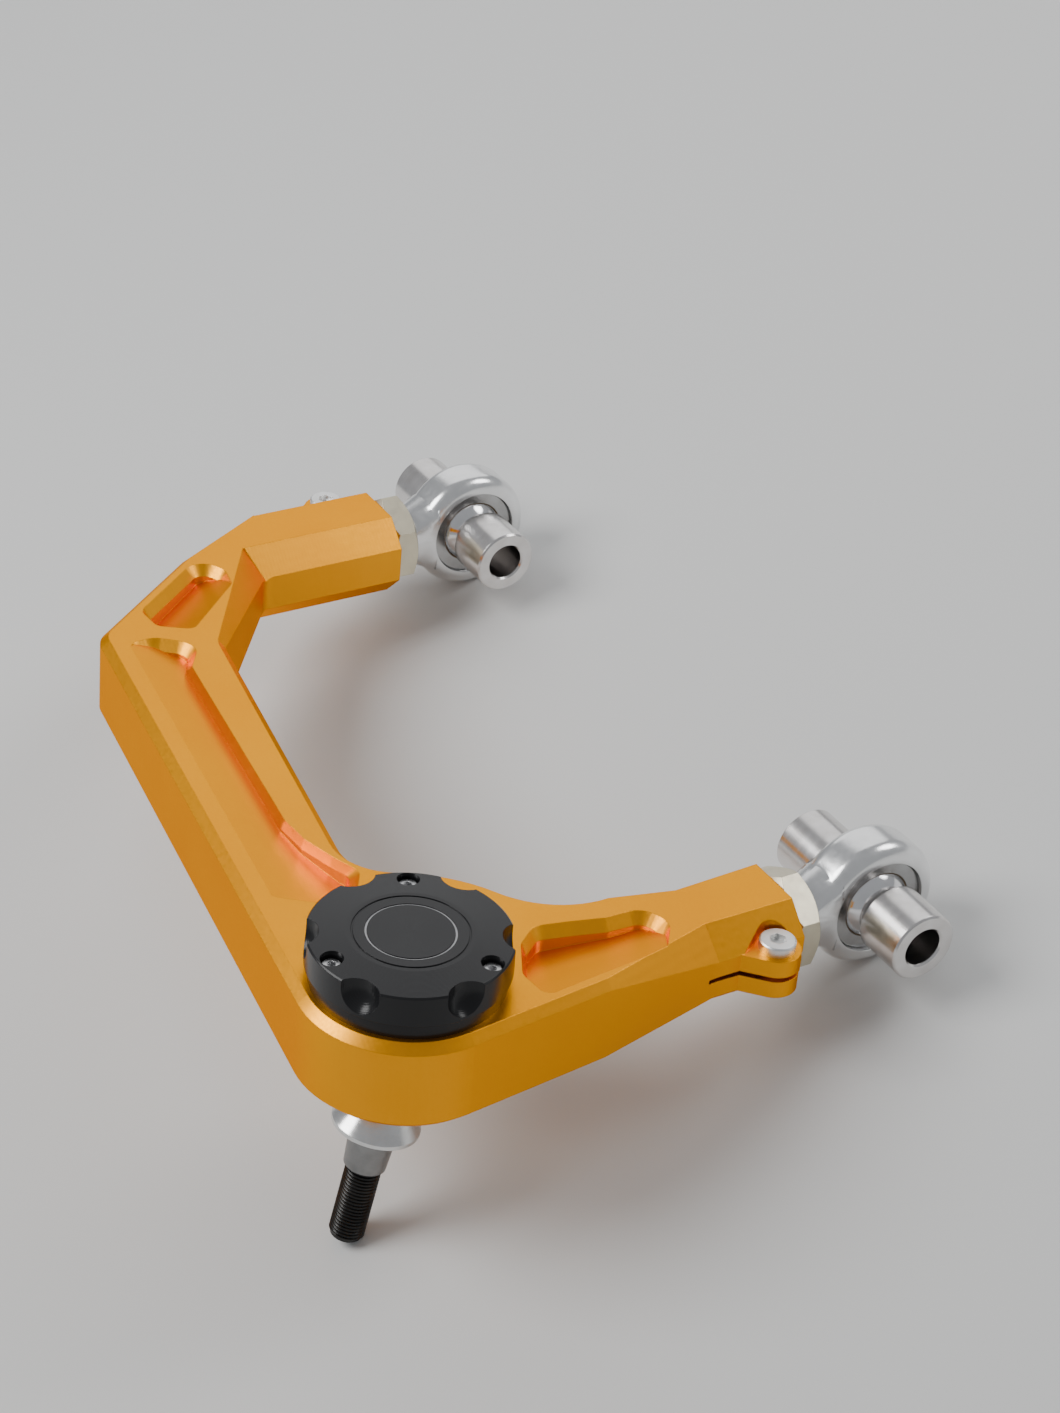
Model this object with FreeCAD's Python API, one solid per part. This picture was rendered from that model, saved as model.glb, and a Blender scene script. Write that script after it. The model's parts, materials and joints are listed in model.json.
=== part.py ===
import FreeCAD
import Part
import math
import os

from FreeCAD import Placement, Rotation, Vector

# Billet suspension arm on two rod end bearings, with a spherical bearing and
# stud in the outer cup.  Millimetres throughout.
#
# The arm is drawn in its own arm frame: origin on the cup axis at the arm's
# top face, +X towards the pivot line, +Y from the front leg to the rear leg,
# +Z up.  At the end everything is tipped about Y, so that the arm stands on
# the stud's tip and the two rod end eyes, and the box is centred on the origin.

# --- driving dimensions: arm ------------------------------------------------
PLATE_THICKNESS = 38.1
PIVOT_REACH = 202.5            # cup axis to pivot line
PIVOT_SPREAD = 320.0           # front ball centre to rear ball centre
FRONT_OFFSET = -6.0            # front leg axis from the cup axis
FACE_SETBACK = 45.5            # leg end face to pivot line
CUP_RADIUS = 42.0
LEG_HALF_WIDTH = 23.2          # straight end of each leg
EDGE_CHAMFER = 3.5
END_CHAMFER = 11.0             # the straight ends are octagonal
LONG_LEG_LEAN = 8.0            # degrees, outer wall of the long leg
LONG_LEG_INNER_LEAN = 9.5      # degrees, inner wall of the long leg
FRONT_INNER_TAPER = 2.6        # degrees, inner wall of the front leg
ELBOW_DROP = 54.0              # rear leg axis down to the outer elbow
ELBOW_RADIUS = 14.0
INNER_ELBOW_DROP = 80.0
INNER_ELBOW_X = 41.0
SHOULDER_BACK = 60.6           # end face back to the outer shoulder
INNER_SHOULDER_BACK = 69.0
TAPER_END_BACK = 39.0          # end face back to where the front leg widens
BEVEL_FADE = 52.0              # length over which the end chamfer fades out
WEB_RADIUS = 67.0              # about the cup axis, between the legs
WEB_FROM = 30.0                # degrees
WEB_TO = 60.0                  # degrees
WEB_FILLET = 22.0
WEB_FRONT_FILLET = 37.0
WIDENING_FILLET = 40.0
SHOULDER_FILLET = 18.0
INNER_SHOULDER_FILLET = 10.0
INNER_ELBOW_FILLET = 9.0

# --- driving dimensions: split clamp on each leg end ------------------------
CLAMP_EAR_THICKNESS = 16.6
CLAMP_EAR_RADIUS = 9.6
CLAMP_SLOT = 2.0
CLAMP_SLOT_LENGTH = 43.0
PINCH_OFFSET = 24.6            # rod end axis to pinch screw axis
PINCH_SETBACK = 14.0           # end face to pinch screw axis
PINCH_RADIUS = 4.76            # 3/8 in, low head
PINCH_HEAD_RADIUS = 7.15
PINCH_HEAD_HEIGHT = 4.2
PINCH_SPOTFACE_RADIUS = 8.6
PINCH_SOCKET_FLATS = 6.0
CLAMP_EAR_ROOT = 8.0            # the ear's foot runs this far back into the leg
RELIEF_RAMP = 32.0             # degrees, run-out of the pocket beside the screw head
RELIEF_REACH = 24.0

# --- driving dimensions: rod end --------------------------------------------
SHANK_RADIUS = 11.1125         # 7/8 in thread
SHANK_LENGTH = 86.0            # ball centre to shank end
EYE_RADIUS = 27.6
EYE_WIDTH = 22.0
EYE_ROUND = 6.4
NECK_RADIUS = 18.5
NECK_LENGTH = 34.0             # ball centre to the start of the thread
RACE_RADIUS = 20.2
RACE_WIDTH = 17.8
BALL_RADIUS = 16.67
BALL_WIDTH = 25.4
BALL_BORE_RADIUS = 9.525       # 3/4 in
NUT_FLATS = 36.5               # 1 7/16 in
NUT_THICKNESS = 12.0
NUT_FACE_INSET = 0.4           # turned face inside the flats, radial
NUT_CORNER_DROP = 3.0          # corners start this far below the face
NUT_COUNTERSINK = 1.8
NUT_TURN = 4.0                 # degrees from a corner being straight up, towards the outside
STACK_LENGTH = 80.0            # over both misalignment spacers
SPACER_RADIUS = 14.3
SPACER_ROOT_RADIUS = 10.25
SPACER_ROOT_LENGTH = 2.8       # ball face to the start of the taper
SPACER_TAPER = 2.4
SPACER_CHAMFER = 0.8
SPACER_BORE_RADIUS = 8.0

# --- driving dimensions: spherical bearing in the cup -----------------------
CUP_RACE_RADIUS = 25.4
CUP_RACE_HEIGHT = 20.2
CUP_BALL_RADIUS = 20.64
CUP_BALL_HEIGHT = 25.4
CUP_BALL_BORE_RADIUS = 12.7
CUP_MOUTH_RADIUS = 26.5
CUP_LIP_RADIUS = 20.0
CUP_LIP_FLARE = 4.0
RING_THICKNESS = 2.0
RING_RADIAL_WIDTH = 4.8
RING_GAP = 12.0

# --- driving dimensions: stud stack -----------------------------------------
STUD_LEAN = 11.0               # degrees outboard at rest
STUD_RADIUS = 7.0              # M14
STUD_LENGTH = 99.0             # ball centre to tip
STUD_HEAD_RADIUS = 10.5
STUD_HEAD_HEIGHT = 9.0
STUD_SOCKET_FLATS = 10.0
UPPER_SPACER_TOP = 20.0        # above ball centre
CONE_START = 37.0              # below ball centre
CONE_RIM = 46.0
CONE_FOOT = 48.0
CONE_BODY_RADIUS = 12.2
CONE_RIM_RADIUS = 17.0
COLLAR_FOOT = 66.0
COLLAR_TOP_RADIUS = 9.4
COLLAR_FOOT_RADIUS = 8.2
STUD_TIP_CHAMFER = 1.2
STUD_RELIEF_RADIUS = 6.4       # undercut between plain shank and thread
STUD_RELIEF_LENGTH = 2.0

# --- driving dimensions: cap ------------------------------------------------
CAP_RADIUS = 38.1
CAP_HEIGHT = 20.0
CAP_CROWN = 1.0                # rim lies this far below the centre
CAP_CROWN_START = 23.6         # radius where the crown begins to fall
CAP_EDGE = 0.6
CAP_CAVITY_CHAMFER = 5.0
CAP_BAND_RADIUS = 36.6
CAP_BAND_HEIGHT = 6.5
CAP_CAVITY_RADIUS = 27.0
CAP_CAVITY_HEIGHT = 15.5
SCALLOP_COUNT = 6
SCALLOP_RADIUS = 9.0
SCALLOP_CIRCLE = 42.0
SCALLOP_FLOOR = 7.0
SCALLOP_START = 33.0           # degrees
CAP_SCREW_COUNT = 3
CAP_SCREW_CIRCLE = 33.0
CAP_SCREW_START = 63.0         # degrees
CAP_SCREW_RADIUS = 2.0
CAP_SCREW_HEAD_RADIUS = 3.5
CAP_SCREW_HEAD_HEIGHT = 4.0
CAP_SCREW_SOCKET_FLATS = 3.0
CAP_COUNTERBORE_RADIUS = 4.3
CAP_COUNTERBORE_FLOOR = 13.0
CAP_SCREW_BITE = 12.0
CAP_RING_GROOVES = (16.0, 21.0)
CAP_GROOVE_WIDTH = 0.8
CAP_GROOVE_DEPTH = 0.4
SEAL_INNER_RADIUS = 28.2
SEAL_OUTER_RADIUS = 30.4
SEAL_HEIGHT = 1.6

# --- driving dimensions: pockets in the top face ----------------------------
POCKET_DEPTH = 9.5
POCKET_CHAMFER = 4.0
POCKET_CORNER = 5.0

# --- clearances -------------------------------------------------------------
RUNNING_GAP = 0.03             # ball in liner, liner in race, spacer in ball
THREAD_GAP = 0.05              # thread stand-ins, radial
SEAT_GAP = 0.02                # race in its housing, radial
LINER_THICKNESS = 0.42
SMALL_GAP = 0.1

# --- derived places ---------------------------------------------------------
END_X = PIVOT_REACH - FACE_SETBACK
FRONT_Y = FRONT_OFFSET
REAR_Y = FRONT_Y + PIVOT_SPREAD
MID_Z = -PLATE_THICKNESS / 2
ARM_UP = Vector(0, 0, 1)
PIVOT_AXIS = Vector(0, 1, 0)


# ---------------------------------------------------------------------------
# general helpers
# ---------------------------------------------------------------------------
def polar(radius, degrees):
    angle = math.radians(degrees)
    return Vector(radius * math.cos(angle), radius * math.sin(angle), 0)


def ring_places(radius, count, start):
    return [polar(radius, start + 360 * k / count) for k in range(count)]


def cylinder(radius, low, high, centre=Vector()):
    return Part.makeCylinder(radius, high - low, centre + Vector(0, 0, low))


def box(x_span, y_span, z_span):
    size = [span[1] - span[0] for span in (x_span, y_span, z_span)]
    return Part.makeBox(*size, Vector(x_span[0], y_span[0], z_span[0]))


def turned(profile):
    """Solid of revolution about Z of a closed (radius, height) profile."""
    points = [Vector(radius, 0, height) for radius, height in profile]
    face = Part.Face(Part.makePolygon(points + points[:1]))
    return face.revolve(Vector(), ARM_UP, 360)


def hexagon_prism(flats, low, high, turn=0):
    corners = [polar(flats / math.sqrt(3), turn + 60 * k) for k in range(6)]
    face = Part.Face(Part.makePolygon(corners + corners[:1]))
    face.translate(Vector(0, 0, low))
    return face.extrude(Vector(0, 0, high - low))


def laid_along_pivot(shape):
    """Turns a shape drawn about Z so that its +Z lies along +Y."""
    out = shape.copy()
    out.Placement = Placement(Vector(), Rotation(Vector(1, 0, 0), -90)).multiply(out.Placement)
    return out


def moved(shape, offset):
    out = shape.copy()
    out.translate(offset)
    return out


def one_solid(shape):
    cleaned = shape.removeSplitter()
    solids = cleaned.Solids
    return solids[0] if len(solids) == 1 else cleaned


def unit(vector):
    return Vector(vector).normalize()


# ---------------------------------------------------------------------------
# outlines with rounded corners
# ---------------------------------------------------------------------------
def rounded_wire(corners, height=0):
    """Closed wire through (x, y, corner radius) triples."""
    count = len(corners)
    edges = []
    ends = []
    for k in range(count):
        here = Vector(corners[k][0], corners[k][1], height)
        before = Vector(corners[k - 1][0], corners[k - 1][1], height)
        after = Vector(corners[(k + 1) % count][0], corners[(k + 1) % count][1], height)
        radius = corners[k][2]
        back = unit(before - here)
        onward = unit(after - here)
        half = back.getAngle(onward) / 2
        if radius <= 0:
            ends.append((here, here, None))
            continue
        run = radius / math.tan(half)
        middle = here + unit(back + onward) * (radius / math.sin(half) - radius)
        ends.append((here + back * run, here + onward * run, middle))
    for k in range(count):
        start, stop, middle = ends[k]
        if middle is not None:
            edges.append(Part.Arc(start, middle, stop).toShape())
        following = ends[(k + 1) % count][0]
        if (following - stop).Length > 1e-6:
            edges.append(Part.LineSegment(stop, following).toShape())
    return Part.Wire(edges)


def crossing(point_a, along_a, point_b, along_b):
    """Where two lines in the XY plane meet."""
    across = along_a.x * along_b.y - along_a.y * along_b.x
    gap = point_b - point_a
    reach = (gap.x * along_b.y - gap.y * along_b.x) / across
    return point_a + along_a * reach


# ---------------------------------------------------------------------------
# arm outline
# ---------------------------------------------------------------------------
def outline_points():
    """The corners of the arm's plan, each with its rounding radius."""
    taper_x = END_X - TAPER_END_BACK
    front_outer = FRONT_Y - LEG_HALF_WIDTH
    front_inner = FRONT_Y + LEG_HALF_WIDTH
    rear_outer = REAR_Y + LEG_HALF_WIDTH
    rear_inner = REAR_Y - LEG_HALF_WIDTH

    # short leg: from the widening, tangent to the cup
    widening = Vector(taper_x, front_outer, 0)
    to_cup = Vector() - widening
    swing = math.asin(CUP_RADIUS / to_cup.Length)
    short_along = Rotation(ARM_UP, math.degrees(swing)).multVec(unit(to_cup))

    # long leg: leaning line tangent to the cup on its outboard side
    lean = math.radians(LONG_LEG_LEAN)
    long_along = Vector(math.sin(lean), math.cos(lean), 0)
    long_foot = Vector(-CUP_RADIUS * math.cos(lean), CUP_RADIUS * math.sin(lean), 0)
    cup_corner = crossing(widening, short_along, long_foot, long_along)
    elbow = crossing(long_foot, long_along, Vector(0, REAR_Y - ELBOW_DROP, 0), Vector(1, 0, 0))

    shoulder = Vector(END_X - SHOULDER_BACK, rear_outer, 0)
    inner_shoulder = Vector(END_X - INNER_SHOULDER_BACK, rear_inner, 0)
    inner_elbow = Vector(INNER_ELBOW_X, REAR_Y - INNER_ELBOW_DROP, 0)
    front_inner_end = Vector(END_X, front_inner, 0)

    # web: tangents to a circle about the cup axis, run out to the legs' inner walls
    inner_along = polar(1, 90 - LONG_LEG_INNER_LEAN)
    web_low = (polar(WEB_RADIUS, WEB_FROM), polar(1, WEB_FROM - 90))
    web_high = (polar(WEB_RADIUS, WEB_TO), polar(1, WEB_TO + 90))
    web_root = crossing(inner_elbow, inner_along, *web_high)
    web_front = crossing(front_inner_end, polar(1, FRONT_INNER_TAPER), *web_low)
    return {
        "front_outer_end": (Vector(END_X, front_outer, 0), 0),
        "widening": (widening, WIDENING_FILLET),
        "cup": (cup_corner, CUP_RADIUS),
        "elbow": (elbow, ELBOW_RADIUS),
        "shoulder": (shoulder, SHOULDER_FILLET),
        "rear_outer_end": (Vector(END_X, rear_outer, 0), 0),
        "rear_inner_end": (Vector(END_X, rear_inner, 0), 0),
        "inner_shoulder": (inner_shoulder, INNER_SHOULDER_FILLET),
        "inner_elbow": (inner_elbow, INNER_ELBOW_FILLET),
        "web_root": (web_root, WEB_FILLET),
        "web": (crossing(*web_low, *web_high), WEB_RADIUS),
        "web_front": (web_front, WEB_FRONT_FILLET),
        "front_inner_end": (front_inner_end, 0),
    }


def arm_prism(plan):
    corners = [(point.x, point.y, radius) for point, radius in plan.values()]
    face = Part.Face(rounded_wire(corners))
    face.translate(Vector(0, 0, -PLATE_THICKNESS))
    prism = face.extrude(Vector(0, 0, PLATE_THICKNESS))
    edges = []
    for edge in prism.Edges:
        bounds = edge.BoundBox
        level = bounds.ZMax - bounds.ZMin < 1e-6
        on_end = bounds.XMin > END_X - 1e-6
        if level and not on_end:
            edges.append(edge)
    return prism.makeChamfer(EDGE_CHAMFER, edges)


# ---------------------------------------------------------------------------
# bevels of changing width along the upper and lower edges
# ---------------------------------------------------------------------------
def bevel_section(point, inward, size):
    """Triangle above a 45 degree bevel of this size, drawn 2 mm oversize."""
    over = 2.0
    top_in = point + inward * (size + over) + Vector(0, 0, over)
    low_out = point - inward * over - Vector(0, 0, size + over)
    top_out = point - inward * over + Vector(0, 0, over)
    return Part.makePolygon([top_in, low_out, top_out, top_in])


def half_space(point, outward):
    """A large block on the side of a plane that outward points away from."""
    reach = 4 * PIVOT_SPREAD
    block = Part.makeBox(reach, reach, reach, Vector(-reach, -reach / 2, -reach / 2))
    angle = math.degrees(math.atan2(outward.y, outward.x))
    block.Placement = Placement(point, Rotation(ARM_UP, angle))
    return block


def bevel_run(points, sizes, inward_hint):
    """Cutters along a run of walls, mitred where two walls meet."""
    cutters = []
    last = len(points) - 2
    for k in range(last + 1):
        start, stop = points[k], points[k + 1]
        along = unit(stop - start)
        inward = along.cross(ARM_UP)
        if inward.dot(inward_hint) < 0:
            inward = inward * -1
        length = (stop - start).Length
        slope = (sizes[k + 1] - sizes[k]) / length
        reach = 0 if k == 0 else END_CHAMFER
        reach_on = 0 if k == last else END_CHAMFER
        size_a = sizes[k] - slope * reach
        size_b = sizes[k + 1] + slope * reach_on
        loft = Part.makeLoft([bevel_section(start - along * reach, inward, size_a),
                              bevel_section(stop + along * reach_on, inward, size_b)], True, True)
        if k > 0:
            before = unit(points[k] - points[k - 1])
            loft = loft.common(half_space(start, (before + along) * -1))
        if k < last:
            after = unit(points[k + 2] - points[k + 1])
            loft = loft.common(half_space(stop, along + after))
        cutters.append(loft)
    return cutters


def end_bevels(plan):
    """The wide bevels that make the leg ends octagonal, above the mid-plane."""
    places = {name: place for name, (place, _) in plan.items()}
    past_end = Vector(2, 0, 0)
    runs = []

    widening = places["widening"]
    toward_cup = unit(places["cup"] - widening)
    runs += bevel_run([places["front_outer_end"] + past_end, widening,
                       widening + toward_cup * BEVEL_FADE],
                      [END_CHAMFER, END_CHAMFER, EDGE_CHAMFER], Vector(0, 1, 0))

    inner_start = places["front_inner_end"]
    to_web = places["web_front"] - inner_start
    toward_web = unit(to_web)
    web_turn = math.radians(90 - WEB_FROM + FRONT_INNER_TAPER)
    inner_faded = inner_start + to_web - toward_web * (WEB_FRONT_FILLET * math.tan(web_turn / 2))
    inner_full = inner_start + toward_web * TAPER_END_BACK
    runs += bevel_run([inner_start - toward_web * 2, inner_full, inner_faded],
                      [END_CHAMFER, END_CHAMFER, EDGE_CHAMFER], Vector(0, -1, 0))

    runs += bevel_run([places["rear_inner_end"] + past_end, places["inner_shoulder"],
                       places["inner_elbow"]],
                      [END_CHAMFER, END_CHAMFER, EDGE_CHAMFER], Vector(-0.5, 1, 0))

    shoulder = places["shoulder"]
    toward_elbow = unit(places["elbow"] - shoulder)
    runs += bevel_run([places["rear_outer_end"] + past_end, shoulder,
                       shoulder + toward_elbow * BEVEL_FADE],
                      [END_CHAMFER, END_CHAMFER, EDGE_CHAMFER], Vector(0.5, -1, 0))
    return runs


# ---------------------------------------------------------------------------
# pockets
# ---------------------------------------------------------------------------
def offset_corners(corners, offsets):
    """Moves side k (from corner k to k + 1) outwards by offsets[k]."""
    count = len(corners)
    sides = []
    for k in range(count):
        start = Vector(corners[k][0], corners[k][1], 0)
        stop = Vector(corners[(k + 1) % count][0], corners[(k + 1) % count][1], 0)
        along = unit(stop - start)
        outward = along.cross(ARM_UP)
        sides.append((start + outward * offsets[k], along))
    out = []
    for k in range(count):
        meet = crossing(*sides[k - 1], *sides[k])
        out.append((meet.x, meet.y, corners[k][2] + min(offsets[k - 1], offsets[k])))
    return out


def pocket(corners, chamfers, shallow_side):
    """Cutter for a pocket whose floor runs out to nothing at one side.

    corners run anticlockwise and bound the pocket below its chamfer.  The
    floor is deepest at the corner furthest from shallow_side.
    """
    over = 2.0
    scale = (POCKET_CHAMFER + over) / POCKET_CHAMFER
    top = offset_corners(corners, [size * scale for size in chamfers])
    well = Part.Face(rounded_wire(corners, -POCKET_DEPTH - over))
    well = well.extrude(Vector(0, 0, POCKET_DEPTH + over - POCKET_CHAMFER))
    flare = Part.makeLoft([rounded_wire(corners, -POCKET_CHAMFER), rounded_wire(top, over)],
                          True, True)
    cutter = well.fuse(flare)

    edge_a = Vector(corners[shallow_side][0], corners[shallow_side][1], 0)
    edge_b = Vector(corners[(shallow_side + 1) % len(corners)][0],
                    corners[(shallow_side + 1) % len(corners)][1], 0)
    along = unit(edge_b - edge_a)
    inward = ARM_UP.cross(along)
    width = max((Vector(x, y, 0) - edge_a).dot(inward) for x, y, _ in corners)
    reach = 2 * PIVOT_SPREAD
    start = edge_a - along * reach
    slope = POCKET_DEPTH / width
    section = Part.makePolygon([start - inward * over + Vector(0, 0, over * slope),
                                start + inward * 4 * width - Vector(0, 0, 4 * width * slope),
                                start + inward * 4 * width + Vector(0, 0, 3 * over),
                                start - inward * over + Vector(0, 0, 3 * over),
                                start - inward * over + Vector(0, 0, over * slope)])
    above_floor = Part.Face(section).extrude(along * 2 * reach)
    return cutter.common(above_floor)


def arm_pockets(plan):
    places = {name: place for name, (place, _) in plan.items()}
    corner = POCKET_CORNER
    lean = math.radians(LONG_LEG_LEAN)
    long_along = Vector(math.sin(lean), math.cos(lean), 0)
    long_in = Vector(math.cos(lean), -math.sin(lean), 0)
    outer_foot = long_in * -CUP_RADIUS

    # long leg: shallow along the outer wall, deep along the inner wall
    def on_long(along, across):
        place = outer_foot + long_along * along + long_in * across
        return (place.x, place.y, corner)

    length = (places["elbow"] - outer_foot).Length
    long_pocket = pocket([on_long(length - 14.5, 10.5), on_long(62, 10.5), on_long(54, 25),
                          on_long(54.5, 38), on_long(68.5, 44.5), on_long(77, 39.5),
                          on_long(91, 33), on_long(106, 29.7), on_long(length - 31, 28.9),
                          on_long(length - 23, 33), on_long(length - 18, 30.5),
                          on_long(length - 12.5, 21)],
                         [0.01, 2, 4, 4, 1.5, 1.5, 1.5, 1.5, 3, 4, 4, 4], 0)

    # diagonal: deep along the outer wall
    shoulder, elbow = places["shoulder"], places["elbow"]
    diagonal = unit(shoulder - elbow)
    diagonal_in = diagonal.cross(ARM_UP)

    def on_diagonal(along, across):
        place = elbow + diagonal * along + diagonal_in * across
        return (place.x, place.y, corner)

    diagonal_pocket = pocket([on_diagonal(25, 10.5), on_diagonal(19, 20), on_diagonal(24, 33),
                              on_diagonal(61, 30), on_diagonal(71, 21), on_diagonal(72.5, 10.5)],
                             [1.5, 0.01, 0.01, 3, 4, 4], 2)

    # short leg: deep along the inner wall, shallow outside
    widening = places["widening"]
    short_along = unit(widening - places["cup"])
    short_in = ARM_UP.cross(short_along)
    short_foot = short_in * -CUP_RADIUS

    def on_short(along, across):
        place = short_foot + short_along * along + short_in * across
        return (place.x, place.y, corner)

    short_pocket = pocket([on_short(38, 6.5), on_short(90, 6.5), on_short(98, 15),
                           on_short(99, 22), on_short(96.5, 27.5), on_short(83, 29.5),
                           on_short(70, 34.5), on_short(57, 39), on_short(47, 33),
                           on_short(38, 20)],
                          [0.01, 2, 4, 4, 4, 4, 4, 3, 2, 1.5], 0)
    return [long_pocket, diagonal_pocket, short_pocket]


# ---------------------------------------------------------------------------
# split clamp at a leg end; outward is -1 for the front leg and +1 for the rear
# ---------------------------------------------------------------------------
def clamp_places(axis_y, outward):
    pinch_x = END_X - PINCH_SETBACK
    pinch_y = axis_y + outward * PINCH_OFFSET
    return pinch_x, pinch_y


def clamp_ear(axis_y, outward):
    pinch_x, pinch_y = clamp_places(axis_y, outward)
    wall = axis_y + outward * LEG_HALF_WIDTH
    run = CLAMP_EAR_RADIUS * math.sqrt(0.5)
    touch = Vector(pinch_x - run, pinch_y + outward * run, 0)
    drop = abs(touch.y - wall) + 1.0
    low, high = MID_Z - CLAMP_EAR_THICKNESS / 2, MID_Z + CLAMP_EAR_THICKNESS / 2
    lobe = cylinder(CLAMP_EAR_RADIUS, low, high, Vector(pinch_x, pinch_y, 0))
    root_y = axis_y + outward * (SHANK_RADIUS + 4)
    root_x = touch.x - drop - CLAMP_EAR_ROOT
    corners = [(touch.x - drop, touch.y - outward * drop, 0),
               (touch.x, touch.y, 0),
               (pinch_x, pinch_y, 0),
               (pinch_x + CLAMP_EAR_RADIUS, pinch_y, 0),
               (pinch_x + CLAMP_EAR_RADIUS, root_y, 0),
               (root_x, root_y, 0),
               (root_x, wall - outward * 1.0, 0)]
    gusset = Part.Face(rounded_wire(corners, low)).extrude(Vector(0, 0, high - low))
    return lobe.fuse(gusset)


def clamp_relief(axis_y, outward):
    """Room above and below the ear for the screw's head and its run-out."""
    pinch_x, pinch_y = clamp_places(axis_y, outward)
    radius = PINCH_SPOTFACE_RADIUS
    beyond = 2 * CLAMP_EAR_RADIUS
    ear_top = MID_Z + CLAMP_EAR_THICKNESS / 2
    clear_top = EDGE_CHAMFER
    spot = cylinder(radius, ear_top, clear_top, Vector(pinch_x, pinch_y, 0))
    ramp = math.radians(RELIEF_RAMP)
    start = Vector(pinch_x - radius * math.sin(ramp), pinch_y - outward * radius * math.cos(ramp), 0)
    foot = start + Vector(-math.cos(ramp), outward * math.sin(ramp), 0) * RELIEF_REACH
    corners = [(start.x, start.y, 0), (foot.x, foot.y, 0),
               (foot.x, pinch_y + outward * beyond, 0),
               (pinch_x + radius, pinch_y + outward * beyond, 0),
               (pinch_x + radius, pinch_y, 0), (pinch_x, pinch_y, 0)]
    side = Part.Face(rounded_wire(corners, ear_top)).extrude(Vector(0, 0, clear_top - ear_top))
    upper = spot.fuse(side)
    lower = upper.mirror(Vector(0, 0, MID_Z), ARM_UP)
    return [upper, lower]


def clamp_cuts(axis_y, outward):
    pinch_x, pinch_y = clamp_places(axis_y, outward)
    bore = Part.makeCylinder(SHANK_RADIUS + THREAD_GAP, SHANK_LENGTH - FACE_SETBACK + 6,
                             Vector(END_X + 1, axis_y, MID_Z), Vector(-1, 0, 0))
    slot_end = axis_y + outward * (PINCH_OFFSET + 2 * CLAMP_EAR_RADIUS)
    slot = box((END_X - CLAMP_SLOT_LENGTH, END_X + 1), sorted((axis_y, slot_end)),
               (MID_Z - CLAMP_SLOT / 2, MID_Z + CLAMP_SLOT / 2))
    hole = cylinder(PINCH_RADIUS + THREAD_GAP, -PLATE_THICKNESS - 1, 1,
                    Vector(pinch_x, pinch_y, 0))
    return [bore, slot, hole]


# ---------------------------------------------------------------------------
# the arm
# ---------------------------------------------------------------------------
def ring_groove_span():
    low = MID_Z + CUP_RACE_HEIGHT / 2
    return low, low + RING_THICKNESS + SMALL_GAP


def ring_outer_radius():
    return CUP_MOUTH_RADIUS + 1.0


def cup_cuts():
    race_low = MID_Z - CUP_RACE_HEIGHT / 2
    groove_low, groove_high = ring_groove_span()
    seat = cylinder(CUP_RACE_RADIUS + SEAT_GAP, race_low, 1)
    mouth = cylinder(CUP_MOUTH_RADIUS, groove_low, 1)
    groove = cylinder(ring_outer_radius() + SMALL_GAP, groove_low, groove_high)
    lip = turned([(0, race_low + 1), (CUP_LIP_RADIUS, race_low + 1), (CUP_LIP_RADIUS, race_low),
                  (CUP_LIP_RADIUS + CUP_LIP_FLARE, -PLATE_THICKNESS),
                  (CUP_LIP_RADIUS + CUP_LIP_FLARE, -PLATE_THICKNESS - 1),
                  (0, -PLATE_THICKNESS - 1)])
    holes = [cylinder(CAP_SCREW_RADIUS + THREAD_GAP, -CAP_SCREW_BITE - 2, 1, place)
             for place in ring_places(CAP_SCREW_CIRCLE, CAP_SCREW_COUNT, CAP_SCREW_START)]
    return [seat, mouth, groove, lip] + holes


def control_arm():
    plan = outline_points()
    arm = arm_prism(plan)
    bevels = end_bevels(plan)
    lower = [cutter.mirror(Vector(0, 0, MID_Z), ARM_UP) for cutter in bevels]
    arm = arm.cut(bevels + lower)
    ends = ((FRONT_Y, -1), (REAR_Y, 1))
    arm = arm.fuse([clamp_ear(*end) for end in ends])
    for end in ends:
        arm = arm.cut(clamp_relief(*end))
        arm = arm.cut(clamp_cuts(*end))
    arm = arm.cut(arm_pockets(plan))
    arm = arm.cut(cup_cuts())
    return one_solid(arm)


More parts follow.
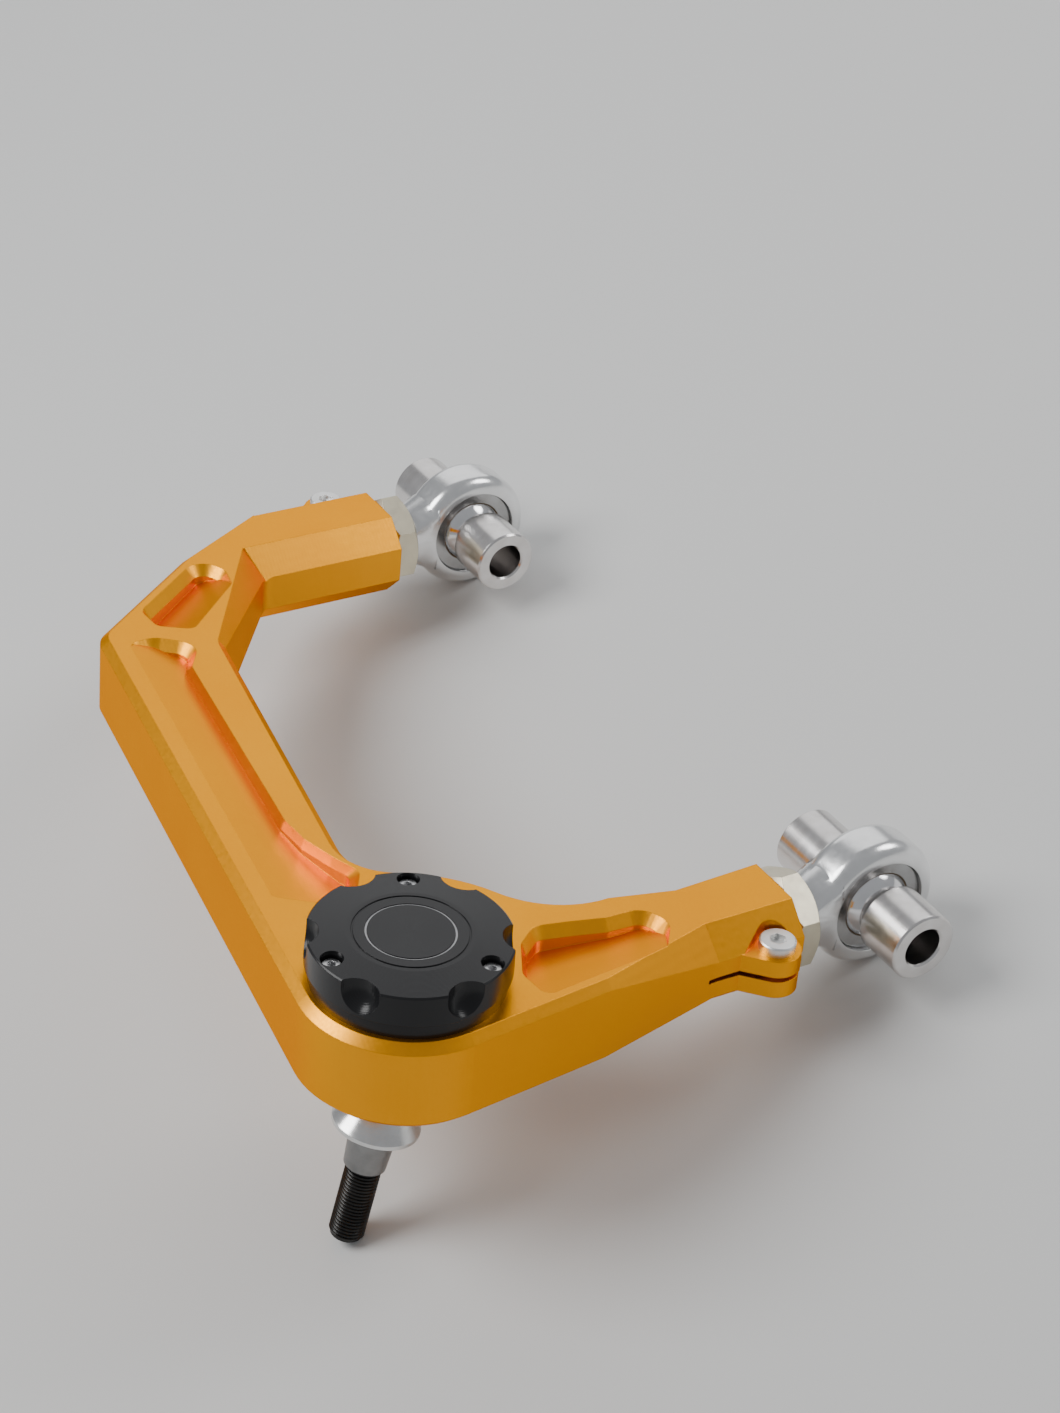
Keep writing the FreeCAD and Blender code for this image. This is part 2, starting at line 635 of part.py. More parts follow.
# ---------------------------------------------------------------------------
# cap and its fasteners
# ---------------------------------------------------------------------------
def top_cap():
    rim = CAP_HEIGHT - CAP_CROWN
    body = turned([(0, 0), (CAP_BAND_RADIUS, 0), (CAP_BAND_RADIUS, CAP_BAND_HEIGHT),
                   (CAP_RADIUS, CAP_BAND_HEIGHT), (CAP_RADIUS, rim - CAP_EDGE),
                   (CAP_RADIUS - CAP_EDGE, rim), (CAP_CROWN_START, CAP_HEIGHT), (0, CAP_HEIGHT)])
    cavity = turned([(0, -1), (CAP_CAVITY_RADIUS, -1),
                     (CAP_CAVITY_RADIUS, CAP_CAVITY_HEIGHT - CAP_CAVITY_CHAMFER),
                     (CAP_CAVITY_RADIUS - CAP_CAVITY_CHAMFER, CAP_CAVITY_HEIGHT),
                     (0, CAP_CAVITY_HEIGHT)])
    seal = (SEAL_INNER_RADIUS - SMALL_GAP, SEAL_OUTER_RADIUS + SMALL_GAP)
    groove = cylinder(seal[1], -1, SEAL_HEIGHT).cut(cylinder(seal[0], -2, SEAL_HEIGHT + 1))
    cuts = [cavity, groove]
    ball_height = SCALLOP_FLOOR + SCALLOP_RADIUS
    for place in ring_places(SCALLOP_CIRCLE, SCALLOP_COUNT, SCALLOP_START):
        cuts.append(cylinder(SCALLOP_RADIUS, ball_height, CAP_HEIGHT + 5, place))
        cuts.append(Part.makeSphere(SCALLOP_RADIUS, place + Vector(0, 0, ball_height)))
    for place in ring_places(CAP_SCREW_CIRCLE, CAP_SCREW_COUNT, CAP_SCREW_START):
        cuts.append(cylinder(CAP_COUNTERBORE_RADIUS, CAP_COUNTERBORE_FLOOR, CAP_HEIGHT + 1, place))
        cuts.append(cylinder(CAP_SCREW_RADIUS + SMALL_GAP, -1, CAP_HEIGHT, place))
    for radius in CAP_RING_GROOVES:
        low = CAP_HEIGHT - CAP_GROOVE_DEPTH
        band = cylinder(radius + CAP_GROOVE_WIDTH, low, CAP_HEIGHT + 1)
        cuts.append(band.cut(cylinder(radius, low - 1, CAP_HEIGHT + 2)))
    return one_solid(body.cut(cuts))


def socket_screw(radius, length, head_radius, head_height, flats):
    """Socket head screw about Z, underside of the head at zero, shank down."""
    chamfer = 0.12 * radius
    body = turned([(0, -length), (radius - chamfer, -length), (radius, -length + chamfer),
                   (radius, 0), (head_radius, 0), (head_radius, head_height - chamfer),
                   (head_radius - chamfer, head_height), (0, head_height)])
    return body.cut(hexagon_prism(flats, 0.45 * head_height, head_height + 1))


def cap_screws():
    screw = socket_screw(CAP_SCREW_RADIUS, CAP_COUNTERBORE_FLOOR + CAP_SCREW_BITE,
                         CAP_SCREW_HEAD_RADIUS, CAP_SCREW_HEAD_HEIGHT, CAP_SCREW_SOCKET_FLATS)
    screw.translate(Vector(0, 0, CAP_COUNTERBORE_FLOOR))
    places = ring_places(CAP_SCREW_CIRCLE, CAP_SCREW_COUNT, CAP_SCREW_START)
    return Part.makeCompound([moved(screw, place) for place in places])


def cap_seal_ring():
    ring = turned([(SEAL_INNER_RADIUS, 0), (SEAL_OUTER_RADIUS, 0),
                   (SEAL_OUTER_RADIUS, SEAL_HEIGHT), (SEAL_INNER_RADIUS, SEAL_HEIGHT)])
    return ring.makeFillet(0.45, [edge for edge in ring.Edges if len(edge.Vertexes) == 1])


# ---------------------------------------------------------------------------
# bearings, drawn about Z with the ball centre at the origin
# ---------------------------------------------------------------------------
def bearing_ball(radius, width, bore_radius):
    ball = Part.makeSphere(radius).common(cylinder(radius + 1, -width / 2, width / 2))
    chamfer = 0.5
    bore = turned([(0, -width), (bore_radius + chamfer + width / 2, -width),
                   (bore_radius + chamfer, -width / 2), (bore_radius, -width / 2 + chamfer),
                   (bore_radius, width / 2 - chamfer), (bore_radius + chamfer, width / 2),
                   (bore_radius + chamfer + width / 2, width), (0, width)])
    return ball.cut(bore)


def bearing_liner(ball_radius, width):
    outer = Part.makeSphere(ball_radius + RUNNING_GAP + LINER_THICKNESS)
    inner = Part.makeSphere(ball_radius + RUNNING_GAP)
    return outer.cut(inner).common(cylinder(2 * ball_radius, -width / 2, width / 2))


def bearing_race(outer_radius, width, ball_radius):
    chamfer = 0.6
    half = width / 2
    blank = turned([(0, -half), (outer_radius - chamfer, -half), (outer_radius, -half + chamfer),
                    (outer_radius, half - chamfer), (outer_radius - chamfer, half), (0, half)])
    return blank.cut(Part.makeSphere(ball_radius + 2 * RUNNING_GAP + LINER_THICKNESS))


# ---------------------------------------------------------------------------
# rod end, drawn about its ball centre with the pivot axis along Y
# ---------------------------------------------------------------------------
def rod_end_body():
    half = EYE_WIDTH / 2
    eye = Part.makeCylinder(EYE_RADIUS, EYE_WIDTH, Vector(0, -half, 0), PIVOT_AXIS)
    rims = [edge for edge in eye.Edges if len(edge.Vertexes) == 1]
    eye = eye.makeFillet(EYE_ROUND, rims)
    neck_start = 0.7 * EYE_RADIUS
    neck = Part.makeCone(NECK_RADIUS, SHANK_RADIUS, NECK_LENGTH - neck_start,
                         Vector(-neck_start, 0, 0), Vector(-1, 0, 0))
    slab = box((-NECK_LENGTH, 0), (-half, half), (-EYE_RADIUS, EYE_RADIUS))
    shoulder = SHANK_RADIUS - half
    collar = Part.makeCone(SHANK_RADIUS - shoulder, SHANK_RADIUS, 2 * shoulder,
                           Vector(-NECK_LENGTH + 2 * shoulder, 0, 0), Vector(-1, 0, 0))
    tip = 1.5
    shank = Part.makeCylinder(SHANK_RADIUS, SHANK_LENGTH - NECK_LENGTH - tip,
                              Vector(-NECK_LENGTH, 0, 0), Vector(-1, 0, 0))
    point = Part.makeCone(SHANK_RADIUS, SHANK_RADIUS - tip, tip,
                          Vector(-SHANK_LENGTH + tip, 0, 0), Vector(-1, 0, 0))
    body = eye.fuse([neck.common(slab), collar, shank, point])
    seat = Part.makeCylinder(RACE_RADIUS + SEAT_GAP, EYE_WIDTH + 2, Vector(0, -half - 1, 0),
                             PIVOT_AXIS)
    return one_solid(body.cut(seat))


def misalignment_spacer(side):
    """Spacer on one side of the ball; side is +1 or -1 along Y."""
    face = BALL_WIDTH / 2 + SMALL_GAP / 2
    root = face + SPACER_ROOT_LENGTH
    end = STACK_LENGTH / 2
    neck = BALL_BORE_RADIUS - RUNNING_GAP
    body = turned([(SPACER_BORE_RADIUS, SMALL_GAP), (neck, SMALL_GAP), (neck, face),
                   (SPACER_ROOT_RADIUS, face), (SPACER_ROOT_RADIUS, root),
                   (SPACER_RADIUS, root + SPACER_TAPER),
                   (SPACER_RADIUS, end - SPACER_CHAMFER), (SPACER_RADIUS - SPACER_CHAMFER, end),
                   (SPACER_BORE_RADIUS + SPACER_CHAMFER, end),
                   (SPACER_BORE_RADIUS, end - SPACER_CHAMFER)])
    out = laid_along_pivot(body)
    return out if side > 0 else out.mirror(Vector(), PIVOT_AXIS)


def jam_nut(outward):
    """Heavy jam nut about X, its inner face at zero and its body towards +X."""
    corner = NUT_FLATS / math.sqrt(3)
    blank = hexagon_prism(NUT_FLATS, 0, NUT_THICKNESS)
    face_radius = NUT_FLATS / 2 - NUT_FACE_INSET
    envelope = turned([(0, 0), (face_radius, 0), (corner + 1, NUT_CORNER_DROP),
                       (corner + 1, NUT_THICKNESS - NUT_CORNER_DROP),
                       (face_radius, NUT_THICKNESS), (0, NUT_THICKNESS)])
    hole = SHANK_RADIUS + THREAD_GAP
    mouth = hole + NUT_COUNTERSINK
    bore = turned([(0, -1), (mouth, -1), (hole, NUT_COUNTERSINK - 1),
                   (hole, NUT_THICKNESS + 1 - NUT_COUNTERSINK),
                   (mouth, NUT_THICKNESS + 1), (0, NUT_THICKNESS + 1)])
    nut = blank.common(envelope).cut(bore)
    lean = -outward * NUT_TURN
    turn = Rotation(Vector(1, 0, 0), lean).multiply(Rotation(PIVOT_AXIS, 90))
    nut.Placement = Placement(Vector(), turn)
    return nut


def pinch_screw(axis_y, outward):
    pinch_x, pinch_y = clamp_places(axis_y, outward)
    screw = socket_screw(PINCH_RADIUS, CLAMP_EAR_THICKNESS, PINCH_HEAD_RADIUS,
                         PINCH_HEAD_HEIGHT, PINCH_SOCKET_FLATS)
    screw.translate(Vector(pinch_x, pinch_y, MID_Z + CLAMP_EAR_THICKNESS / 2))
    return screw


# ---------------------------------------------------------------------------
# stud stack, drawn about Z with the ball centre at the origin
# ---------------------------------------------------------------------------
def stud_bolt():
    relief_high = COLLAR_FOOT - STUD_RELIEF_LENGTH + 0.5
    relief_low = relief_high + STUD_RELIEF_LENGTH
    slope = STUD_RADIUS - STUD_RELIEF_RADIUS
    body = turned([(0, -STUD_LENGTH), (STUD_RADIUS - STUD_TIP_CHAMFER, -STUD_LENGTH),
                   (STUD_RADIUS, -STUD_LENGTH + STUD_TIP_CHAMFER),
                   (STUD_RADIUS, -relief_low), (STUD_RELIEF_RADIUS, -relief_low + slope),
                   (STUD_RELIEF_RADIUS, -relief_high - slope), (STUD_RADIUS, -relief_high),
                   (STUD_RADIUS, UPPER_SPACER_TOP), (STUD_HEAD_RADIUS, UPPER_SPACER_TOP),
                   (STUD_HEAD_RADIUS, UPPER_SPACER_TOP + STUD_HEAD_HEIGHT - 1),
                   (STUD_HEAD_RADIUS - 1, UPPER_SPACER_TOP + STUD_HEAD_HEIGHT),
                   (0, UPPER_SPACER_TOP + STUD_HEAD_HEIGHT)])
    socket = hexagon_prism(STUD_SOCKET_FLATS, UPPER_SPACER_TOP + 3,
                           UPPER_SPACER_TOP + STUD_HEAD_HEIGHT + 1)
    return body.cut(socket)


def stud_upper_spacer():
    hole = STUD_RADIUS + THREAD_GAP
    neck = CUP_BALL_BORE_RADIUS - RUNNING_GAP
    face = CUP_BALL_HEIGHT / 2 + SMALL_GAP / 2
    return turned([(hole, SMALL_GAP), (neck, SMALL_GAP), (neck, face), (neck + 0.6, face),
                   (STUD_HEAD_RADIUS + 1, UPPER_SPACER_TOP), (hole, UPPER_SPACER_TOP)])


def stud_cone_spacer():
    hole = STUD_RADIUS + THREAD_GAP
    neck = CUP_BALL_BORE_RADIUS - RUNNING_GAP
    face = CUP_BALL_HEIGHT / 2 + SMALL_GAP / 2
    return turned([(hole, -SMALL_GAP), (neck, -SMALL_GAP), (neck, -face), (neck + 0.6, -face),
                   (CONE_BODY_RADIUS, -face - 4), (CONE_BODY_RADIUS - 1.2, -CONE_START),
                   (CONE_RIM_RADIUS, -CONE_RIM), (CONE_RIM_RADIUS, -CONE_FOOT + 0.5),
                   (CONE_RIM_RADIUS - 0.5, -CONE_FOOT), (hole, -CONE_FOOT)])


def stud_taper_collar():
    hole = STUD_RADIUS + THREAD_GAP
    return turned([(hole, -CONE_FOOT), (COLLAR_TOP_RADIUS, -CONE_FOOT),
                   (COLLAR_FOOT_RADIUS, -COLLAR_FOOT), (hole, -COLLAR_FOOT)])


def retaining_ring():
    low, high = ring_groove_span()
    outer = ring_outer_radius()
    inner = outer - RING_RADIAL_WIDTH
    band = cylinder(outer, low, high - SMALL_GAP).cut(cylinder(inner, low - 1, high + 1))
    gap = box((0, outer + 5), (-RING_GAP / 2, RING_GAP / 2), (low - 1, high + 1))
    return band.cut(gap)


# ---------------------------------------------------------------------------
# standing pose: the arm is tipped until stud tip and eyes share a floor
# ---------------------------------------------------------------------------
def stud_lean_rotation():
    return Rotation(PIVOT_AXIS, STUD_LEAN)


def tip_height(tilt):
    """Height of the stud's lowest point once the arm is tipped by tilt."""
    turn = Rotation(PIVOT_AXIS, tilt)
    down = turn.multiply(stud_lean_rotation()).multVec(Vector(0, 0, -1))
    centre = turn.multVec(Vector(0, 0, MID_Z)) + down * STUD_LENGTH
    rim = STUD_RADIUS - STUD_TIP_CHAMFER
    edge = centre - down * STUD_TIP_CHAMFER
    side = math.sqrt(1 - down.z ** 2)
    return min(centre.z - rim * side, edge.z - STUD_RADIUS * side)


def eye_height(tilt):
    centre = Rotation(PIVOT_AXIS, tilt).multVec(Vector(PIVOT_REACH, 0, MID_Z))
    return centre.z - EYE_RADIUS


def standing_tilt():
    low, high = 0.0, 45.0
    for _ in range(60):
        middle = (low + high) / 2
        if tip_height(middle) < eye_height(middle):
            low = middle
        else:
            high = middle
    return (low + high) / 2


# ---------------------------------------------------------------------------
# assembly
# ---------------------------------------------------------------------------
def arm_frame_parts():
    """Every node by name, in the arm frame."""
    centre = Vector(0, 0, MID_Z)
    parts = {
        "control_arm": control_arm(),
        "top_cap": top_cap(),
        "cap_screws": cap_screws(),
        "cap_seal_ring": cap_seal_ring(),
        "uniball_retaining_ring": retaining_ring(),
        "uniball_race": moved(bearing_race(CUP_RACE_RADIUS, CUP_RACE_HEIGHT, CUP_BALL_RADIUS),
                              centre),
        "uniball_liner": moved(bearing_liner(CUP_BALL_RADIUS, CUP_RACE_HEIGHT - 0.4), centre),
    }
    lean = Placement(centre, stud_lean_rotation())
    leaning = {
        "uniball_ball": bearing_ball(CUP_BALL_RADIUS, CUP_BALL_HEIGHT, CUP_BALL_BORE_RADIUS),
        "stud_bolt": stud_bolt(),
        "stud_upper_spacer": stud_upper_spacer(),
        "stud_cone_spacer": stud_cone_spacer(),
        "stud_taper_collar": stud_taper_collar(),
    }
    for name, shape in leaning.items():
        shape.Placement = lean.multiply(shape.Placement)
        parts[name] = shape

    ball = laid_along_pivot(bearing_ball(BALL_RADIUS, BALL_WIDTH, BALL_BORE_RADIUS))
    race = laid_along_pivot(bearing_race(RACE_RADIUS, RACE_WIDTH, BALL_RADIUS))
    liner = laid_along_pivot(bearing_liner(BALL_RADIUS, RACE_WIDTH - 0.4))
    body = rod_end_body()
    for leg, axis_y, outward in (("front", FRONT_Y, -1), ("rear", REAR_Y, 1)):
        pivot = Vector(PIVOT_REACH, axis_y, MID_Z)
        parts[leg + "_rod_end_body"] = moved(body, pivot)
        parts[leg + "_rod_end_race"] = moved(race, pivot)
        parts[leg + "_rod_end_liner"] = moved(liner, pivot)
        parts[leg + "_rod_end_ball"] = moved(ball, pivot)
        parts[leg + "_inner_spacer"] = moved(misalignment_spacer(-outward), pivot)
        parts[leg + "_outer_spacer"] = moved(misalignment_spacer(outward), pivot)
        parts[leg + "_jam_nut"] = moved(jam_nut(outward), Vector(END_X, axis_y, MID_Z))
        parts[leg + "_pinch_screw"] = pinch_screw(axis_y, outward)
    return parts


def standing_placement(parts):
    """Tips the arm, then puts the bottom centre of its box at the origin."""
    turn = Rotation(PIVOT_AXIS, standing_tilt())
    tipped = Placement(Vector(), turn)
    bounds = FreeCAD.BoundBox()
    for shape in parts.values():
        copy = shape.copy()
        copy.Placement = tipped.multiply(copy.Placement)
        bounds.add(copy.optimalBoundingBox(False))
    offset = Vector(-bounds.Center.x, -bounds.Center.y, -bounds.ZMin)
    return Placement(offset, turn)


def finished_parts():
    parts = arm_frame_parts()
    placement = standing_placement(parts)
    for shape in parts.values():
        shape.Placement = placement.multiply(shape.Placement)
    return parts, placement


def main():
    os.makedirs("parts", exist_ok=True)
    parts, placement = finished_parts()
    for name, shape in parts.items():
        shape.exportStep(os.path.join("parts", name + ".step"))
        bad = "" if shape.isValid() else "  NOT VALID"
        print("%-26s %2d solid(s) %10.1f mm3%s" % (name, len(shape.Solids), shape.Volume, bad))
    print("standing tilt %.3f degrees" % standing_tilt())


main()
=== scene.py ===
import json
import math

import bmesh
import bpy
from mathutils import Matrix, Vector


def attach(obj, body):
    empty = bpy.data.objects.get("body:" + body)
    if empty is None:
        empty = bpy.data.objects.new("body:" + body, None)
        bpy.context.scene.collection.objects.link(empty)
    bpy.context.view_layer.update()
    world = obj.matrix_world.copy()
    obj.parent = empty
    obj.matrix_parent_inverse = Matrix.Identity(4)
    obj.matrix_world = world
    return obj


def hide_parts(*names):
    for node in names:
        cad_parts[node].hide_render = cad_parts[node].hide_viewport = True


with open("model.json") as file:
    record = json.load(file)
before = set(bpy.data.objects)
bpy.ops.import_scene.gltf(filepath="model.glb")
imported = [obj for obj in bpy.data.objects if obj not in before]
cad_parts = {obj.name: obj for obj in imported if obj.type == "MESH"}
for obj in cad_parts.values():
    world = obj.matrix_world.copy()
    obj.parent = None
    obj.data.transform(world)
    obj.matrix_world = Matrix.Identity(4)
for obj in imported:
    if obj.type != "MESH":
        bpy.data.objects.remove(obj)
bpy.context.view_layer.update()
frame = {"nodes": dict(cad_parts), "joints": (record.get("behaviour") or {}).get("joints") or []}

bl_info = {
    "name": "Suspension Arm Looks",
    "version": (1, 0, 0),
    "blender": (4, 5, 0),
    "location": "View3D > Sidebar > Suspension Arm",
    "description": "Finishes and threads for a machined suspension arm with rod end bearings",
    "category": "Object",
}

MM = 0.001
LEGS = ("front", "rear")

# geometry of the threads
THREAD_DEPTH_SHARE = 0.60     # of the pitch
THREAD_SIDES = 48             # around the core
THREAD_STEPS = 40             # per turn of the ridge
TIP_CHAMFER = 1.2 * MM
CREASE_ANGLE = 32.0           # degrees, sharper edges stay sharp

MERGE_DISTANCE = 1e-6
PLANE_DISTANCE = 1e-7         # how near a point lies to count as on the cut

# marks in the finishes
CAP_HIGHLIGHT_RADII = (16.05 * MM, 16.75 * MM)        # painted highlight: a light grey ring between two radii about the cup axis
WALL_STEP_SPACING = 0.0031
WEAVE_SPACING = 0.0006
ARM_GLANCE_TINT = (1.0, 0.6, 0.12, 1.0)    # keeps the dye's colour at low angles

# main and darker tone of each metal
TONES = {
    "cap_screw": ((0.62, 0.62, 0.62), (0.45, 0.45, 0.46)),
    "cup_race": ((0.62, 0.61, 0.6), (0.48, 0.47, 0.46)),
    "cup_ball": ((0.82, 0.82, 0.83), (0.72, 0.72, 0.73)),
    "retaining_ring": ((0.2, 0.2, 0.21), (0.12, 0.12, 0.12)),
    "stud": ((0.065, 0.064, 0.062), (0.035, 0.035, 0.035)),
    "cone_spacer": ((0.80, 0.80, 0.79), (0.66, 0.65, 0.64)),
    "upper_spacer": ((0.78, 0.78, 0.78), (0.66, 0.65, 0.64)),
    "taper_collar": ((0.30, 0.295, 0.29), (0.2, 0.2, 0.2)),
    "rod_end": ((0.90, 0.90, 0.90), (0.80, 0.80, 0.80)),
    "eye_race": ((0.5, 0.5, 0.5), (0.4, 0.39, 0.38)),
    "eye_ball": ((0.82, 0.82, 0.83), (0.74, 0.74, 0.75)),
    "pivot_spacer": ((0.74, 0.72, 0.71), (0.62, 0.59, 0.57)),
    "jam_nut": ((0.76, 0.70, 0.54), (0.66, 0.60, 0.46)),
    "pinch_screw": ((0.85, 0.85, 0.84), (0.72, 0.72, 0.71)),
}
# painted highlight: the light grey of the ring on the black cap, standing in for a bright
# reflection
PAINTED_HIGHLIGHT_GREY = (0.62, 0.62, 0.63)

# studio: each softbox has a name, a place, a width and a power in watts
SOFTBOXES = (
    ("key_light", (-0.9, 0.5, 1.5), 1.1, 24),
    ("side_light", (1.5, -0.4, 1.0), 0.8, 9),
    ("back_light", (1.05, 1.35, 0.95), 1.8, 8),
)
SOFTBOX_TARGET = (0, 0, 0.06)
SKY_COLOUR = (0.8, 0.82, 0.85, 1)
SKY_STRENGTH = 0.45
SENSOR_HEIGHT = 36.0                       # millimetres
NEAR_CLIP = 0.01


# ---------------------------------------------------------------------------
# places read from the frame
# ---------------------------------------------------------------------------
def joint(name):
    for entry in frame["joints"]:
        if entry["name"] == name:
            return entry
    raise RuntimeError("the frame has no joint named " + name)


def joint_place(name):
    return Vector(joint(name)["pos_m"])


def joint_axis(name):
    return Vector(joint(name)["axis"]).normalized()


ARM_OUT = joint_axis("front_length_adjust")
ARM_TILT = math.atan2(-ARM_OUT.z, ARM_OUT.x)
CUP_BALL = joint_place("uniball_swing_turn")
STUD_DOWN = -joint_axis("stud_spin")
EYE_BALL = {leg: joint_place(leg + "_ball_swing_turn") for leg in LEGS}
PIVOT_LINE = joint_axis("front_ball_swing_turn")


# ---------------------------------------------------------------------------
# settings
# ---------------------------------------------------------------------------
class AnodiseSettings(bpy.types.PropertyGroup):
    arm_colour: bpy.props.FloatVectorProperty(
        name="Arm Colour", description="Dyed colour of the arm", subtype="COLOR",
        size=3, min=0, max=1, default=(0.95, 0.40, 0.010))
    arm_deep_colour: bpy.props.FloatVectorProperty(
        name="Arm Deep Colour", description="Colour where the dye took more strongly",
        subtype="COLOR", size=3, min=0, max=1, default=(0.90, 0.355, 0.008))
    cap_colour: bpy.props.FloatVectorProperty(
        name="Cap Colour", description="Dyed colour of the cap", subtype="COLOR",
        size=3, min=0, max=1, default=(0.012, 0.012, 0.013))
    pass_spacing: bpy.props.FloatProperty(
        name="Cutter Pass Spacing", description="Distance between cutter passes on the faces",
        subtype="DISTANCE", unit="LENGTH", min=0.0001, default=0.0016)
    turning_spacing: bpy.props.FloatProperty(
        name="Turning Feed", description="Distance between the turning rings on the cap",
        subtype="DISTANCE", unit="LENGTH", min=0.0001, default=0.0006)


class ThreadSettings(bpy.types.PropertyGroup):
    stud_radius: bpy.props.FloatProperty(
        name="Stud Thread Radius", description="Outer radius of the stud's thread",
        subtype="DISTANCE", unit="LENGTH", default=7.0 * MM)
    stud_pitch: bpy.props.FloatProperty(
        name="Stud Pitch", description="Thread pitch of the stud",
        subtype="DISTANCE", unit="LENGTH", default=1.5 * MM)
    stud_start: bpy.props.FloatProperty(
        name="Stud Thread Start", description="From the cup's ball centre down the stud",
        subtype="DISTANCE", unit="LENGTH", default=67.0 * MM)
    stud_end: bpy.props.FloatProperty(
        name="Stud Tip", description="From the cup's ball centre to the stud's tip",
        subtype="DISTANCE", unit="LENGTH", default=99.0 * MM)
    shank_radius: bpy.props.FloatProperty(
        name="Shank Thread Radius", description="Outer radius of the rod end's thread",
        subtype="DISTANCE", unit="LENGTH", default=11.1125 * MM)
    shank_pitch: bpy.props.FloatProperty(
        name="Shank Pitch", description="Thread pitch of the rod end",
        subtype="DISTANCE", unit="LENGTH", default=1.814 * MM)
    shank_start: bpy.props.FloatProperty(
        name="Shank Thread Start", description="From the eye's ball centre to the thread",
        subtype="DISTANCE", unit="LENGTH", default=34.0 * MM)
    shank_end: bpy.props.FloatProperty(
        name="Shank End", description="From the eye's ball centre to the shank's end",
        subtype="DISTANCE", unit="LENGTH", default=86.0 * MM)


class StageSettings(bpy.types.PropertyGroup):
    floor_colour: bpy.props.FloatVectorProperty(
        name="Floor Colour", description="Colour of the plain floor", subtype="COLOR",
        size=3, min=0, max=1, default=(0.70, 0.70, 0.69))
    floor_size: bpy.props.FloatProperty(
        name="Floor Size", description="Width of the floor", subtype="DISTANCE",
        unit="LENGTH", default=14.0)
    camera_place: bpy.props.FloatVectorProperty(
        name="Camera Place", description="Where the camera stands", subtype="TRANSLATION",
        size=3, default=(-0.31755, -0.93364, 0.91471))
    camera_turn: bpy.props.FloatVectorProperty(
        name="Camera Turn", description="Which way the camera looks", subtype="EULER",
        size=3, default=(math.radians(48.526), math.radians(10.672), math.radians(-31.075)))
    lens: bpy.props.FloatProperty(
        name="Lens", description="Focal length in millimetres, for a 36 mm high sensor",
        min=1, default=80.52)


# ---------------------------------------------------------------------------
# shader building
# ---------------------------------------------------------------------------
class Shader:
    """A material under construction, with short ways to add and join nodes."""

    def __init__(self, name):
        self.material = bpy.data.materials.new(name)
        self.material.use_nodes = True
        self.tree = self.material.node_tree
        self.tree.nodes.clear()
        self.surface = self.add("ShaderNodeBsdfPrincipled")
        output = self.add("ShaderNodeOutputMaterial")
        self.join(self.surface.outputs["BSDF"], output.inputs["Surface"])
        self.height = None

    def add(self, kind, **settings):
        node = self.tree.nodes.new(kind)
        for key, value in settings.items():
            setattr(node, key, value)
        return node

    def join(self, source, target):
        self.tree.links.new(source, target)

    def constants(self, **values):
        names = {"metallic": "Metallic", "roughness": "Roughness",
                 "specular": "Specular IOR Level"}
        for key, value in values.items():
            self.surface.inputs[names[key]].default_value = value

    def object_place(self):
        return self.add("ShaderNodeTexCoord").outputs["Object"]

    def local_place(self, origin, turn=(0, 0, 0)):
        """Object coordinates seen from a frame at origin turned by turn."""
        mapping = self.add("ShaderNodeMapping", vector_type="TEXTURE")
        mapping.inputs["Location"].default_value = origin
        mapping.inputs["Rotation"].default_value = turn
        self.join(self.object_place(), mapping.inputs["Vector"])
        return mapping.outputs["Vector"]

    def stretched(self, place, scale):
        mapping = self.add("ShaderNodeMapping")
        mapping.inputs["Scale"].default_value = scale
        self.join(place, mapping.inputs["Vector"])
        return mapping.outputs["Vector"]

    def noise(self, place, scale, detail=3.0, rough=0.5):
        node = self.add("ShaderNodeTexNoise")
        node.inputs["Scale"].default_value = scale
        node.inputs["Detail"].default_value = detail
        node.inputs["Roughness"].default_value = rough
        self.join(place, node.inputs["Vector"])
        return node.outputs["Fac"]

    def math(self, operation, first, second=None, third=None):
        node = self.add("ShaderNodeMath", operation=operation)
        for slot, value in enumerate((first, second, third)):
            if value is None:
                continue
            if isinstance(value, (int, float)):
                node.inputs[slot].default_value = value
            else:
                self.join(value, node.inputs[slot])
        return node.outputs[0]

    def ramp(self, value, low, high):
        node = self.add("ShaderNodeMapRange")
        node.inputs["From Min"].default_value = low
        node.inputs["From Max"].default_value = high
        self.join(value, node.inputs["Value"])
        return node.outputs["Result"]

    def blend(self, factor, first, second):
        node = self.add("ShaderNodeMix", data_type="RGBA")
        self.join(factor, node.inputs["Factor"])
        for socket, colour in ((node.inputs[6], first), (node.inputs[7], second)):
            if hasattr(colour, "links"):
                self.join(colour, socket)
            else:
                socket.default_value = (*colour[:3], 1)
        return node.outputs[2]

    def split(self, place):
        node = self.add("ShaderNodeSeparateXYZ")
        self.join(place, node.inputs[0])
        return node.outputs

    def waves(self, value, spacing):
        return self.math("SINE", self.math("MULTIPLY", value, 2 * math.pi / spacing))

    def colour(self, socket):
        self.join(socket, self.surface.inputs["Base Color"])

    def roughness(self, socket):
        self.join(socket, self.surface.inputs["Roughness"])

    def relief(self, height, distance, edge_radius=0.0004):
        """Bump from a height, over edges that are softened by edge_radius."""
        bevel = self.add("ShaderNodeBevel", samples=4)
        bevel.inputs["Radius"].default_value = edge_radius
        bump = self.add("ShaderNodeBump")
        bump.inputs["Strength"].default_value = 1.0
        bump.inputs["Distance"].default_value = distance
        self.join(height, bump.inputs["Height"])
        self.join(bevel.outputs["Normal"], bump.inputs["Normal"])
        self.join(bump.outputs["Normal"], self.surface.inputs["Normal"])


def arm_turn():
    """Turn that lines local Z up with the arm's own up axis."""
    return (0, ARM_TILT, 0)


